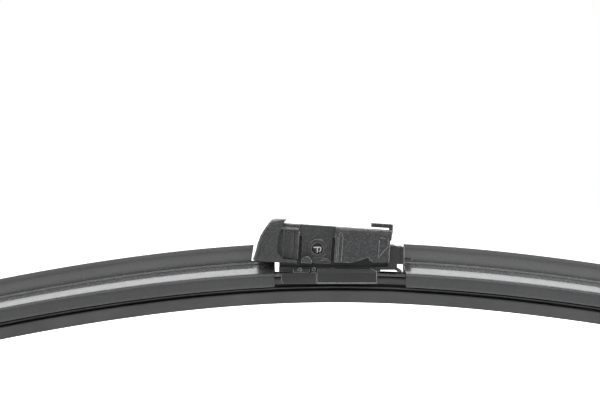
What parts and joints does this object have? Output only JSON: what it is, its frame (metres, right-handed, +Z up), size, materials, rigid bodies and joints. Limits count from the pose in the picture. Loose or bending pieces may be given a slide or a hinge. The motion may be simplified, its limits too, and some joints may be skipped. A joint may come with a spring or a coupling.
{
  "type": "windscreen wiper blade",
  "caption": "Flat beam wiper blade: curved rubber wiping element on two spring rails, spoiler halves and end caps, with a pivoting latch adaptor for the wiper arm.",
  "frame": {"origin": "below the blade's mid-length, centred across it, on the plane that both relaxed lip ends stand on", "axes": "+X along the blade towards the adaptor's latch end, +Y to the rear where the spoiler's fin stands, +Z up, away from the glass"},
  "size_m": [0.5912, 0.0194, 0.0824],
  "materials": {
    "rubber_black": "matte black rubber, slightly glossy on the wiping lip",
    "rail_steel": "drawn spring steel with a thin dark coat",
    "spoiler_plastic": "satin black extruded plastic",
    "cap_plastic": "satin black moulded plastic",
    "bracket_plastic": "matte black moulded plastic",
    "pin_plastic": "satin dark grey moulded plastic",
    "adaptor_plastic": "fine spark-eroded grain, matte black plastic"
  },
  "bodies": {
    "adaptor": {"adaptor_body": "adaptor_plastic", "nose_cap": "adaptor_plastic"},
    "blade": {"wiper_rubber": "rubber_black", "spring_rail_front": "rail_steel", "spring_rail_rear": "rail_steel", "spoiler_left": "spoiler_plastic", "spoiler_right": "spoiler_plastic", "end_cap_left": "cap_plastic", "end_cap_right": "cap_plastic", "base_bracket": "bracket_plastic", "base_clip_front": "bracket_plastic", "base_clip_rear": "bracket_plastic", "pivot_pin": "pin_plastic"},
    "latch": {"latch_tongue": "adaptor_plastic"}
  },
  "joints": [
    {"name": "blade_pivot", "type": "hinge", "parent": "adaptor", "child": "blade", "pos_m": [0.00291, 0, 0.07342], "axis": [0, 1, 0], "range_deg": [-6, 7]},
    {"name": "latch_press", "type": "hinge", "parent": "adaptor", "child": "latch", "pos_m": [0.01035, 0, 0.07905], "axis": [0, 1, 0], "range_deg": [0, 7.5], "stiffness_Nm_per_rad": 0.3}
  ]
}
